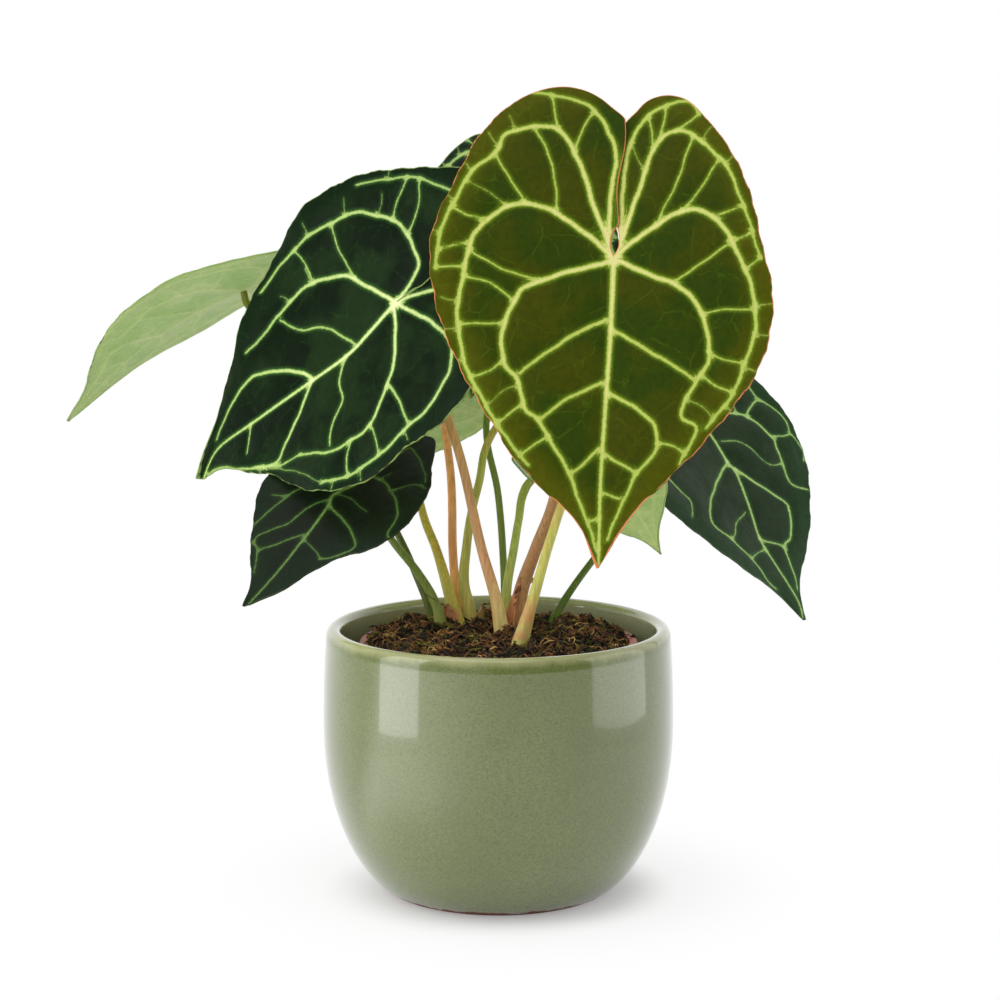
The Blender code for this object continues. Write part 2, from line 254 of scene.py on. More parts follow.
def half_outline(leaf, side):
    """Points of the edge from the tip round to the slit: distance to the side, and along."""
    shares, angles, fine = np.array(leaf[side]), np.array(ANGLES, float), outline_angles()
    k = np.clip(np.searchsorted(angles, fine, "right") - 1, 0, len(angles) - 2)
    before, after = np.maximum(k - 1, 0), np.minimum(k + 2, len(angles) - 1)
    span = angles[k + 1] - angles[k]
    start = (shares[k + 1] - shares[before]) / (angles[k + 1] - angles[before]) * span
    end = (shares[after] - shares[k]) / (angles[after] - angles[k]) * span
    reach = hermite((fine - angles[k]) / span, shares[k], shares[k + 1], start, end)
    ripple = 0.0045 * np.sin(fine * 0.55) + 0.0016 * np.sin(fine * 1.6 + 1.0)
    calm = np.clip((fine - 3) / 8, 0, 1) * np.clip((150 - fine) / 20, 0, 1)
    reach *= leaf["length"] * (1 + ripple * calm)
    return reach * np.sin(np.radians(fine)), reach * np.cos(np.radians(fine))


wide, far = half_outline(LEAVES["front"], "left")
print("front blade, left half: %.0f mm wide, lobe %.0f mm long" % (wide.max(), -far.min()))

# %% [markdown]
# ## The veins
# The pale veins are this plant's pride. Every main vein is drawn as a short list of points on
# the flat blade, in millimetres: first to the side, then towards the tip. Cross-veins join
# two main veins at a share of their lengths, or run some millimetres out towards the margin.
# Each half of a blade has its own plan. Painting an image would be quicker, but a drawn plan
# keeps its edge at any distance.

# %% Reading a vein plan
def read_veins(text):
    """Each line: a letter, half the width at the start and at the end, and the points."""
    veins = {}
    for line in text.strip().splitlines():
        letter, start, end, *points = line.split()
        veins[letter] = float(start), float(end), [tuple(map(float, p.split(","))) for p in points]
    return veins


def read_links(text):
    """Each link: a vein and a share of it, then another one, or out and a length."""
    return [link.split() for link in text.split(",")]


print("for example", read_links("a .5 b .4, c .7 out 6 thin"))

# %% Vein plans of the front and left blades
FRONT_LEFT = read_veins("""
    a 1.2 0.6 -0.5,-4 -3,-18 -2,-42 -6,-54 -12,-62 -19,-67 -38,-70
    b 1.3 0.6 -1,-3 -7,-16 -19,-45 -30,-55 -46,-51 -50,-43 -60,-32 -69,-9 -70,6
    c 1.3 0.55 -1,-1 -16,-13 -29,-20 -41,-21 -54,-11 -57,-3 -60,23 -55,46 -42,67 -37,74 -29,83
    d 1.3 0.5 -1,1 -31,11 -37,17 -42,30 -40,44 -35,50 -31,61 -25,67 -13,86 -1,115
    e 0.8 0.6 -2,25 -18,34 -34,47
    f 0.7 0.55 -2,50 -14,56 -25,65
    g 0.6 0.5 -2,76 -12,86
    h 0.4 0.3 -1,103 -4,104""")
FRONT_LEFT_LINKS = read_links("""
    a .91 b .40, a .69 b .31, b .47 c .17, b .62 c .25, b .73 c .29 thin, c .35 b .82, b .95 c .42,
    b 1 c .48, d .19 c .44, d .28 c .50, d .34 c .62, d .44 c .75, d .52 c .83 thin, d .57 c .88,
    d .68 c .97, b .52 out 7 thin, b .60 out 8 thin, b .70 out 7 thin, b .80 out 7 thin,
    b .90 out 6 thin, c .56 out 7 thin, c .63 out 8 thin, c .70 out 8 thin, c .78 out 7 thin,
    c .88 out 6 thin""")
FRONT_RIGHT = read_veins("""
    a 1.1 0.6 1,-5 2,-18 2,-40 8,-59 24,-67 30,-61
    b 1.3 0.35 1,-4 5,-16 12,-43 17,-52 25,-53 37,-44 46,-31 58,0
    c 1.3 0.55 1,-1 10,-9 18,-15 26,-19 35,-19 45,-9 55,12 57,29 50,53 40,67
    d 1.3 0.5 1,1 16,7 27,12 35,20 40,39 35,49 30,62 36,68 30,81
    e 0.8 0.6 1,29 16,37 34,48
    f 0.8 0.45 1,54 14,61 20,67 20,77 12,88 3,111
    g 0.6 0.5 1,78 13,85
    h 0.4 0.35 1,93 7,95""")
FRONT_RIGHT_LINKS = read_links("""
    a .70 b .35, a .80 b .39, a 1 b .45, b .51 c .14, b .63 c .22, c .32 b .82, c .41 b .91, c .51 b 1,
    d .23 c .42, d .39 c .63, d .53 c .79, d .62 c .88, d .72 c .97 thin, f .41 d .96,
    a .54 b .27 thin, b .55 out 7 thin, b .66 out 7 thin, c .62 out 7 thin, c .70 out 7 thin,
    c .80 out 6 thin, c .92 out 6 thin""")
LEFT_UPPER_VEINS = read_veins("""
    a 1.35 0.5 0,0 -21,14 -26,20 -31,31 -32,43 -30,54 -27,66 -26,78
    b 1.1 0.6 0,-1 -3,-9 -8,-16 -17,-17 -23,-17 -31,-14 -38,-8 -45,0 -48,10 -50,26 -49,44 -44,59
    c 0.6 0.4 -26,-44 -44,-28 -56,-4
    d 0.6 0.4 4,25 -10,35 -18,48 -27,55
    e 1.1 0.4 4,51 -3,57 -11,70 -15,79 -14,89 -11,99 -4,111""")
LEFT_UPPER_LINKS = read_links("""
    c .50 b .35, c .38 b .26, b .62 a .26, b .80 a .51, b .42 out 9 thin, b .56 out 7 thin,
    b .72 out 6 thin, a .50 out 7 thin, a .66 out 6 thin, c .70 out 5 thin""")
LEFT_LOWER_VEINS = read_veins("""
    a 1.25 0.5 0,1 21,7 31,14 39,22 44,31 44,40 42,51 33,67
    b 1.2 0.6 0,0 11,-8 22,-15 32,-19 43,-16 48,-11 54,0 56,10 58,26 58,45 53,58
    c 1.1 0.6 0,-2 9,-27 20,-46 36,-44 50,-26
    d 0.6 0.4 7,31 15,37 24,38 31,46 39,50
    e 0.9 0.4 6,51 13,59 24,74 27,84 16,104 3,120
    f 0.4 0.3 3,90 13,96
    g 0.7 0.5 33,14 43,11 55,10""")
LEFT_LOWER_LINKS = read_links("""
    a .68 b .89, a .56 b .76, a 1 e .5, e .6 b 1 thin, b .64 out 5 thin, b .84 out 5 thin,
    b .95 out 5 thin, e .55 out 6 thin""")
print("main veins on the front blade:", len(FRONT_LEFT) + len(FRONT_RIGHT))

# %% Vein plans of the right and low blades
RIGHT_NEAR_VEINS = read_veins("""
    a 1 0.5 -0.5,-4 -3,-34 -9,-48 -20,-54
    b 1.1 0.5 -1,-3 -14,-30 -24,-42 -36,-38 -46,-20 -48,0
    c 1.1 0.4 -1,0 -14,-9 -30,-12 -42,-1 -40,16 -35,27 -31,35 -30,39 -34,45
    d 1 0.4 6,25 -1,29 -15,38 -23,47 -24,52 -18,59 -12,71 -10,80 -7,85
    e 0.25 0.3 -1,49 -10,53 -14,57 -18,59
    f 0.3 0.3 -1,67 -7,68 -12,69""")
RIGHT_FAR_VEINS = read_veins("""
    a 1 0.5 0.5,-4 3,-34 9,-48 20,-52
    b 1.1 0.6 1,-3 14,-30 24,-42 36,-36 42,-18 42,-4 43,2
    c 1.1 0.6 1,0 12,-2 23,3 31,8 37,20 36,25 33,36 32,43 38,48
    d 1.1 0.4 8,29 17,42 23,50 23,54 16,65 10,69 7,82 5,88
    e 0.7 0.4 31,8 34,5 43,2 48,10 49,15 48,20
    f 0.5 0.4 37,20 43,21 48,22 49,30 46,35
    g 0.25 0.2 33,33 26,31 22,22 18,17 10,15
    h 0.6 0.5 -1,62 6,66 10,69""")
LOW_NEAR_VEINS = read_veins("""
    a 0.9 0.4 -1,13 9,16 17,19 23,22 25,26 18,34 15,36
    b 0.25 0.2 15,36 10,34 2,32
    c 1 0.5 0,-2 2,-7 8,-8 14,-7 24,-2 32,6 34,13 37,15
    d 0.5 0.4 18,-6 24,-12 31,-13
    e 0.3 0.2 8,-8 10,-13
    f 0.8 0.4 0,-3 4,-18 6,-28 13,-26 24,-20 28,-16
    g 0.3 0.25 -3,7 4,6 16,8""")
LOW_FAR_VEINS = read_veins("""
    a 0.5 0.4 -1,30 -5,35 -13,46
    b 0.3 0.3 -18,44 -13,46 -7,55
    c 0.6 0.3 -4,11 -9,19 -11,30 -18,40 -17,44
    d 0.7 0.3 -2,2 -12,3 -18,12 -22,28 -23,38
    e 0.35 0.3 -21,19 -26,22
    f 0.7 0.4 -1,-2 -8,-20 -18,-28 -28,-20 -30,-4 -28,10""")
print("main veins on the low blade:", len(LOW_NEAR_VEINS) + len(LOW_FAR_VEINS))

# %% Vein curves
STEP = 1.2                    # millimetres between the points of a vein


def smooth_line(points):
    """A Catmull-Rom curve through the points, cut about every step."""
    p = np.array([points[0], *points, points[-1]], float)
    line = []
    for k in range(1, len(p) - 2):
        count = max(2, int(np.linalg.norm(p[k + 1] - p[k]) / STEP))
        t = (np.arange(count) / count)[:, None]
        line.append(0.5 * ((2 * p[k]) + (p[k + 1] - p[k - 1]) * t
                           + (2 * p[k - 1] - 5 * p[k] + 4 * p[k + 1] - p[k + 2]) * t ** 2
                           + (3 * p[k] - p[k - 1] - 3 * p[k + 1] + p[k + 2]) * t ** 3))
    return np.concatenate([*line, p[-1:]])


def point_at(line, share):
    """Point at a share of a line's length."""
    steps = np.linalg.norm(np.diff(line, axis=0), axis=1)
    run = np.concatenate([[0], np.cumsum(steps)]) / steps.sum()
    return np.array([np.interp(share, run, line[:, 0]), np.interp(share, run, line[:, 1])])


def waver(line, size, chance):
    """Let a line wander a little to both sides, as a grown vein does."""
    run = np.arange(len(line)) * STEP
    sway = 0.22 * np.sin(run / 3.4 + chance.uniform(0, 6))
    sway += 0.12 * np.sin(run / 1.5 + chance.uniform(0, 6))
    along = np.gradient(line, axis=0)
    along /= np.linalg.norm(along, axis=1)[:, None] + 1e-9
    ends = np.minimum(1.0, np.minimum(np.arange(len(line)), np.arange(len(line))[::-1]) / 3.0)
    return line + np.stack([along[:, 1], -along[:, 0]], 1) * (sway * ends * size)[:, None]


print("a vein of 20 mm has", len(smooth_line([(0, 0), (0, 20)])), "points")


# %% Veins of a blade
def strokes_of(veins, links, stretch, mirror, broad, chance):
    """Every vein of a half blade: points, half width at both ends, paleness at both ends."""
    scale = np.array([mirror, 1.0]) * stretch
    size = stretch ** 0.5
    lines = {name: waver(smooth_line(np.array(points) * scale), size, chance)
             for name, (start, end, points) in veins.items()}
    strokes = [(lines[name], start * broad, (0.1 + 0.9 * broad) * end,
                min(1.0, 0.35 + 0.55 * start), 0.6) for name, (start, end, points) in veins.items()]
    for first, a, second, b, *thin in links:
        start = point_at(lines[first], float(a))
        if second == "out":
            away = start - np.array([0.0, 25.0]) * stretch
            end = start + away / np.linalg.norm(away) * float(b) * stretch
        else:
            end = point_at(lines[second], float(b))
        bow = np.array([end[1] - start[1], start[0] - end[0]]) * chance.uniform(-0.09, 0.09)
        width = (0.13 if thin else 0.30) * broad * chance.uniform(0.8, 1.2)
        pale = 0.3 if thin else 0.62
        line = waver(smooth_line((start, (start + end) / 2 + bow, end)), size, chance)
        strokes.append((line, width, width, pale, pale))
    return strokes


# Midrib, veins and links of the left half, the same of the right half, the length that the
# plan was drawn for, and how broad its veins are.
USUAL_PLAN = (((0, 0), (0, 60), (0, 119)), FRONT_RIGHT, FRONT_RIGHT_LINKS, -1,
              FRONT_RIGHT, FRONT_RIGHT_LINKS, 122, 0.65)
PLANS = {
    "front": (((0, 0), (0.5, 30), (0, 60), (-0.5, 90), (0, 121)), FRONT_LEFT, FRONT_LEFT_LINKS, 1,
              FRONT_RIGHT, FRONT_RIGHT_LINKS, 122, 0.76),
    "left": (((0, 0), (4, 15), (7, 30), (6, 51), (3, 85), (0, 110), (2, 123)), LEFT_UPPER_VEINS,
             LEFT_UPPER_LINKS, 1, LEFT_LOWER_VEINS, LEFT_LOWER_LINKS, 125, 0.68),
    "right": (((0, 0), (6, 9), (6, 25), (7, 31), (3, 48), (-1, 62), (0, 75), (2, 92), (0, 100)),
              RIGHT_NEAR_VEINS, (), 1, RIGHT_FAR_VEINS, read_links("b .5 a .8, b .7 c .35"), 101,
              0.46),
    "low": (((0, 0), (-4, 8), (-2, 13), (0, 24), (1, 34), (2, 50), (1, 68)), LOW_FAR_VEINS, (), 1,
            LOW_NEAR_VEINS, (), 69, 0.5),
}


def blade_strokes(name, leaf):
    """All veins of a blade, with the midrib first."""
    midrib, left, left_links, mirror, right, right_links, length, broad = PLANS.get(name, USUAL_PLAN)
    chance = np.random.default_rng(len(name) + leaf["length"])
    stretch = leaf["length"] / length
    broad *= stretch ** 0.5
    strokes = [(smooth_line(np.array(midrib) * stretch), 1.4 * broad, 0.5 * broad, 1.0, 0.8)]
    strokes += strokes_of(left, left_links, stretch, mirror, broad, chance)
    strokes += strokes_of(right, right_links, stretch, 1, broad, chance)
    return strokes


print("strokes on the front blade:", len(blade_strokes("front", LEAVES["front"])))

# %% [markdown]
# ## Distances on the blade
# The finish of a blade needs to know, at every point, how far the nearest vein is, how wide
# it is there, and how far the edge is. The side of the vein matters too. A plain distance has
# its lowest value between two mesh points, so a thin vein would break into dashes, while a
# number that goes from minus to plus crosses zero exactly on the vein. Where two veins meet,
# both count, and that widens the junction into the soft web that a real one has.

# %% Vein and edge distances
REACH = 9.0                   # millimetres from a vein beyond which nothing is measured
WEB = 0.65                    # how far junctions fill out, in millimetres


def to_line(points, line):
    """Signed distance to a line, distance, and the share of its length at the nearest point."""
    along = np.diff(line, axis=0)
    offset = points[:, None, :] - line[None, :-1]
    t = np.clip((offset * along).sum(2) / np.maximum((along ** 2).sum(1), 1e-9), 0, 1)
    gap = offset - t[..., None] * along
    distance = np.sqrt((gap ** 2).sum(2))
    k = np.argmin(distance, axis=1)
    row = np.arange(len(k))
    side = np.sign(along[k, 0] * offset[row, k, 1] - along[k, 1] * offset[row, k, 0])
    return side * distance[row, k], distance[row, k], (k + t[row, k]) / len(along)


def vein_fields(points, strokes):
    """Signed distance, distance, half width and paleness of the nearest vein at each point."""
    count = len(points)
    gap, dist = np.full(count, REACH), np.full(count, REACH)
    half, pale, best = np.zeros(count), np.full(count, 0.5), np.full(count, REACH)
    total = np.full(count, 1e-9)
    for line, start, end, bright, faint in strokes:
        low, high = line.min(0) - REACH, line.max(0) + REACH
        some = np.flatnonzero(((points > low) & (points < high)).all(1))
        signed, away, share = to_line(points[some], line)
        width = start + (end - start) * share
        clear = away - width
        total[some] += np.exp(-clear / WEB)
        wins = clear < best[some]
        here = some[wins]
        best[here], gap[here], dist[here] = clear[wins], signed[wins], away[wins]
        half[here] = width[wins]
        pale[here] = (bright + (faint - bright) * share)[wins]
    swell = np.clip(best + WEB * np.log(total), 0.0, 1.2)
    return gap, dist, half + swell, pale


def edge_field(points, outline):
    """Distance to the outline, in millimetres."""
    result = np.empty(len(points))
    for first in range(0, len(points), 3000):
        some = points[first:first + 3000, None, :] - outline[None]
        result[first:first + 3000] = np.sqrt((some ** 2).sum(2)).min(1)
    return result


print("fields ready")

# %% [markdown]
# ## Building the blades
# Each half of a blade starts as a flat grid. Its rows run from the tip to the end of the lobe
# and its columns from the midrib to the edge, so the mesh is fine everywhere and dense
# nowhere. The lamina swells between the veins, as it does on the real plant. A live Solidify
# modifier then thickens the sheet and gives its lower side a finish of its own.

# %% The flat blade
FRONT_ROWS = 0.68             # share of the rows between the tip and the joint


def smooth(values, start, end):
    """Smooth step from 0 at start to 1 at end."""
    t = np.clip((values - start) / (end - start), 0, 1)
    return t * t * (3 - 2 * t)


def flat_halves(leaf):
    """Two grids side by side: x near 0 is the right half, x near 2 the left one."""
    bm = bmesh.new()
    for shift in (0, 2):
        made = bmesh.ops.create_grid(bm, x_segments=leaf["columns"], y_segments=leaf["rows"], size=0.5)
        bmesh.ops.translate(bm, verts=made["verts"], vec=(shift, 0, 0))
    return bm


def half_plane(leaf, side, share_in, share_down):
    """Flat place, lift and way to the inner edge of grid points: share_in 0 is the midrib,
    share_down 0 the tip."""
    wide, far = half_outline(leaf, side)
    lowest, sign = int(np.argmin(far)), 1 if side == "right" else -1
    t = np.clip(share_down / FRONT_ROWS, 0, 1)
    down = np.clip((share_down - FRONT_ROWS) / (1 - FRONT_ROWS), 0, 1)
    along = np.where(share_down < FRONT_ROWS, leaf["length"] * (1 - t),
                     far[lowest] * (1 - (1 - down) ** 1.6))
    edge_far = np.minimum.accumulate(far[:lowest + 1])
    slit_far = np.maximum.accumulate(np.append(far[lowest:], 0.0))
    outer = np.interp(along, edge_far[::-1], wide[:lowest + 1][::-1])
    inner = np.where(along >= 0, 0.0, np.interp(along, slit_far, np.append(wide[lowest:], 0.0)))
    back = np.maximum(-along, 0)
    shut = smooth(back, 9, 15) * smooth(back, -far[-1] + 7, -far[-1] + 1)
    gape = smooth(back, 0.5, 5) * smooth(back, 15, 8) * leaf["opening"]
    lap = np.minimum((0.6 + back * 0.0175) * shut - gape, inner + 0.6 * shut)
    across = inner - lap * (1 - share_in) + (outer - inner) * share_in
    across += sign * 0.9 * np.sin(back * 0.16) * shut * (1 - share_in)
    rim = np.where(along < 0, share_in * (outer - inner + lap), REACH)
    lift = -0.5 * sign * shut * np.exp(-np.abs(across) / 9.0)
    lift += leaf["wave"] * share_in ** 4 * np.sin(along / 8.0 + sign) * smooth(t, 1.0, 0.8)
    return sign * across, along, lift, rim


def flat_blade(mesh, leaf):
    """Side, along, lift and way to the inner edge of all grid points, in millimetres."""
    grid = np.empty(len(mesh.vertices) * 3, np.float32)
    mesh.vertices.foreach_get("co", grid)
    x, y = grid.reshape(-1, 3).astype(float).T[:2]
    is_left = x > 1
    share_in = np.where(is_left, x - 1.5, x + 0.5)
    left, right = (half_plane(leaf, half, share_in, y + 0.5) for half in ("left", "right"))
    return [np.where(is_left, *pair) for pair in zip(left, right)]


print("rows and columns of half the front blade:", LEAVES["front"]["rows"], LEAVES["front"]["columns"])


# %% The bent blade
FOLD_ROUNDING = 8.0           # how softly the blade folds along its midrib, in millimetres


def margin_line(leaf, side):
    """The outer margin of one half, from the tip to the lobe's end."""
    wide, far = half_outline(leaf, side)
    sign = 1 if side == "right" else -1
    return np.stack([sign * wide, far], axis=1)[:int(np.argmin(far)) + 6]


def blade_surface(leaf, side, along, lift):
    """Points of the upper face, lifted along its local z, in millimetres."""
    rate = np.radians(np.where(along > 0, *leaf["bend"])) / 10
    turn = rate * along
    rise = (np.hypot(side, FOLD_ROUNDING) - FOLD_ROUNDING) * sin(radians(leaf["fold"])) + lift
    forward = np.sin(turn) / rate + rise * np.sin(turn)
    height = (np.cos(turn) - 1) / rate + rise * np.cos(turn)
    return np.stack([side * cos(radians(leaf["fold"])), -forward, height], axis=1)


def leaf_matrix(leaf):
    drop, roll, heading = leaf["turn"]
    return Euler([radians(a) for a in (drop, roll, heading + 90)], "YXZ").to_matrix()


def measure_blade(name, leaf, side, along, inner):
    """The numbers that the finish needs at every point."""
    flat = np.stack([side, along], axis=1)
    gap, dist, half, pale = vein_fields(flat, blade_strokes(name, leaf))
    edge = np.minimum(*(edge_field(flat, margin_line(leaf, part)) for part in ("left", "right")))
    return dict(gap=gap, dist=dist, half=half, pale=pale, edge=edge, rim=np.minimum(edge, inner))


print("the front blade faces", [round(c, 2) for c in leaf_matrix(LEAVES["front"]) @ Vector((0, 0, 1))])


# %% The swelling of a blade
QUILT = 0.8                   # how far the lamina swells between the veins, in millimetres


def shape_blade(mesh, name, leaf):
    """Give the flat grids their outline, swelling and bend, and keep the measures on them."""
    side, along, lift, inner = flat_blade(mesh, leaf)
    fields = measure_blade(name, leaf, side, along, inner)
    size = (leaf["length"] / 122) ** 0.5
    swell = QUILT * size * (1 - np.exp(-np.maximum(fields["dist"] - fields["half"], 0) / 4.0))
    lift += swell * np.clip(fields["edge"] / 6.0, 0, 1) - QUILT * 0.4 * size
    drip = smooth(along, 0.86 * leaf["length"], leaf["length"])
    aside, ahead = leaf["drip"]
    points = blade_surface(leaf, side + aside * drip ** 2, along + ahead * drip, lift)
    points = points @ np.array(leaf_matrix(leaf)).T + np.array(leaf["seat"])
    mesh.vertices.foreach_set("co", (points * MM).astype(np.float32).ravel())
    for label, values in fields.items():
        layer = mesh.attributes.new(label, "FLOAT", "POINT")
        layer.data.foreach_set("value", values.astype(np.float32))


print("the lamina swells by up to %.1f mm" % QUILT)

# %% [markdown]
# ## Blades as pieces
# A piece rides with the plant and stands for the solid that it replaces. The two halves are
# joined where they touch, and all faces look up, so that the thickness grows downwards.

# %% Blade pieces
LEAF_THICKNESS = 0.7


def add_piece(data, name, *nodes, slot):
    """Link a mesh or curve as a piece that rides with the plant and stands for CAD nodes."""
    piece = bpy.data.objects.new(name, data)
    bpy.context.collection.objects.link(piece)
    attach(piece, "root")
    if nodes:
        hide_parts(*nodes)
    return piece


def join_halves(mesh, leaf):
    """Join the halves along the midrib and turn the faces to the upper side."""
    bm = bmesh.new()
    bm.from_mesh(mesh)
    bmesh.ops.remove_doubles(bm, verts=bm.verts, dist=4e-6)
    bmesh.ops.recalc_face_normals(bm, faces=bm.faces)
    out = leaf_matrix(leaf) @ Vector((0, 0, 1))
    if sum(face.normal.dot(out) for face in bm.faces) < 0:
        bmesh.ops.reverse_faces(bm, faces=bm.faces)
    bm.to_mesh(mesh)
    bm.free()
    mesh.shade_smooth()


def build_blade(name, leaf):
    """A blade as a sheet, with the second material on its lower side."""
    bm = flat_halves(leaf)
    mesh = bpy.data.meshes.new(name + "_leaf")
    bm.to_mesh(mesh)
    bm.free()
    shape_blade(mesh, name, leaf)
    join_halves(mesh, leaf)
    slot = "young_blade" if name == "front" else "mature_blade"
    blade = add_piece(mesh, name + "_leaf", name + "_blade", slot=slot)
    sheet = blade.modifiers.new("thickness", "SOLIDIFY")
    sheet.thickness, sheet.offset, sheet.material_offset = LEAF_THICKNESS * MM, -1.0, 1
    return blade


blades = {name: build_blade(name, leaf) for name, leaf in LEAVES.items()}
print("faces on all blades:", sum(len(b.data.polygons) for b in blades.values()))

# %% [markdown]
# ## The finish of a blade
# The group below paints a blade from the stored distances: a deep green lamina, paler towards
# the edge, a soft glow beside each vein, the pale vein with its feathered border, a faint net
# of veinlets and a thin coloured rim. Every blade uses it with its own colours.

# %% Blade paint group
# The name p stands for the group that is being built.
p = blade_paint = PaintGroup(
    "blade_paint", Lamina=paint(46, 62, 8), Tint=paint(64, 66, 4), Border=paint(70, 80, 9),
    Glow=paint(110, 130, 35), Vein=paint(190, 198, 98), Core=paint(225, 222, 150),
    Rim=paint(190, 120, 90), Veinlets=0.2, Vein_Strength=1.0)
here = p.place()
feather = p.clouds(here, 800.0, 3.0, 0.65)
broad = p.clouds(here, 40.0, 3.0, 0.55)
fine = p.clouds(here, 380.0, 4.0, 0.6)

# The lamina: two greens in broad patches, paler towards the edge, with fine dark grain.
colour = p.blend(p.fade(broad, 0.38, 0.62), p.given["Lamina"], p.given["Tint"])
colour = p.blend(p.fade(p.stored("edge"), 1.0, 17.0, 1.0, 0.0), colour, p.given["Border"])
dark = p.blend(1.0, colour, (0.72, 0.74, 0.70, 1.0), "MULTIPLY")
colour = p.blend(p.fade(fine, 0.35, 0.70, 0.0, 0.6), colour, dark)

# The net of veinlets: the borders between bent cells, missing here and there.
bent = p.node("VectorMath", {0: here, 1: p.times(broad, 0.02)}, operation="ADD").outputs[0]
cells = p.node("TexVoronoi", feature="DISTANCE_TO_EDGE")
border = p.wire(cells, {"Vector": bent, "Scale": 60.0}).outputs[0]
net = p.times(p.fade(border, 0.004, 0.035, 1.0, 0.0), p.given["Veinlets"])
colour = p.blend(p.times(net, p.fade(fine, 0.42, 0.6)), colour, p.given["Glow"])

# The veins: a wide soft glow, the feathered line itself, and a bright core in strong veins.
pale = p.stored("pale")
beside = p.most(p.math("ABSOLUTE", p.stored("gap")), p.less(p.stored("dist"), 0.35))
clear = p.less(p.add(beside, p.less(feather, 0.5)), p.stored("half"))
line = p.fade(clear, -0.15, 0.35, 1.0, 0.0)
core = p.fade(clear, -0.9, -0.1, 1.0, 0.0)
glow = p.fade(clear, -0.2, 2.2, 1.0, 0.0)
strength = p.times(p.given["Vein Strength"], p.fade(pale, 0.0, 0.8, 0.25, 1.0))
colour = p.blend(p.times(p.times(glow, glow), strength), colour, p.given["Glow"])
colour = p.blend(p.times(line, strength), colour, p.given["Vein"])
bright = p.times(core, p.fade(pale, 0.55, 1.0))
colour = p.blend(p.times(bright, strength), colour, p.given["Core"])
colour = p.blend(p.fade(p.stored("rim"), 0.15, 0.55, 1.0, 0.0), colour, p.given["Rim"])

# The relief: grain, raised veins and soft dimples.
dimples = p.clouds(here, 120.0, 2.0, 0.5)
p.finish(colour, p.add(p.add(p.times(fine, 0.3), p.times(line, 0.35)), p.times(dimples, 1.6)))

# %% [markdown]
# ## The colours of the blades
# The young front blade is yellower and duller than the grown ones, and the low one is dark
# with age. The lower faces are pale and matt, with veins that hardly stand out.

# %% Blade materials
COAT = ("Lamina", "Tint", "Border", "Glow", "Vein", "Core", "Rim")


def coat(*colours, **more):
    """The colours of a blade in the order above, and other inputs of its paint."""
    return {**{name: paint(*colour) for name, colour in zip(COAT, colours)}, **more}


YOUNG = coat((46, 66, 3), (64, 70, 1), (78, 82, 1), (104, 134, 26), (178, 194, 88),
             (222, 216, 142), (226, 140, 92), Veinlets=0.16)
GREEN = coat((4, 24, 2), (22, 44, 12), (8, 32, 6), (52, 94, 34), (160, 188, 102),
             (224, 232, 170), (140, 166, 90), Veinlets=0.12)
DARK = coat((14, 26, 12), (22, 30, 16), (18, 36, 16), (34, 56, 24), (84, 114, 54),
            (138, 168, 88), (44, 56, 30), Veinlets=0.1)
FRESH = coat((24, 46, 18), (38, 56, 32), (28, 58, 24), (58, 96, 44), (156, 190, 108),
             (200, 218, 150), (64, 90, 48), Veinlets=0.12)
UNDERSIDE = coat((184, 206, 136), (162, 194, 114), (172, 198, 120), (186, 204, 134),
                 (204, 214, 140), (216, 214, 116), (140, 150, 100), Veinlets=0.2,
                 Vein_Strength=0.32)

# Colours, gloss and roughness of the upper faces that differ from the usual one.
USUAL_UPPER = (GREEN, 0.2, 0.42)
UPPER = {"front": (YOUNG, 0.06, 0.5), "left": (GREEN, 0.09, 0.40), "low": (DARK, 0.14, 0.45),
         "right": (FRESH, 0.18, 0.40)}


def paint_blade(blade, part, colours, gloss, rough):
    """Give a blade the material of its upper or lower face."""
    face = Finish(part, Roughness=rough, Specular_IOR_Level=gloss)
    face.painted(blade_paint, 0.0006, 0.6, **colours)
    blade.data.materials.append(face.material)


for name, blade in blades.items():
    paint_blade(blade, name + "_upper_face", *UPPER.get(name, USUAL_UPPER))
    paint_blade(blade, name + "_lower_face", UNDERSIDE, 0.25, 0.55)
print("blade materials:", 2 * len(blades))

# %% [markdown]
# ## The stalks
# Every stalk is a round, slightly tapered stem with a thicker knee just behind its blade. A
# curve with a round bevel is the natural tool, because each point has its own radius.

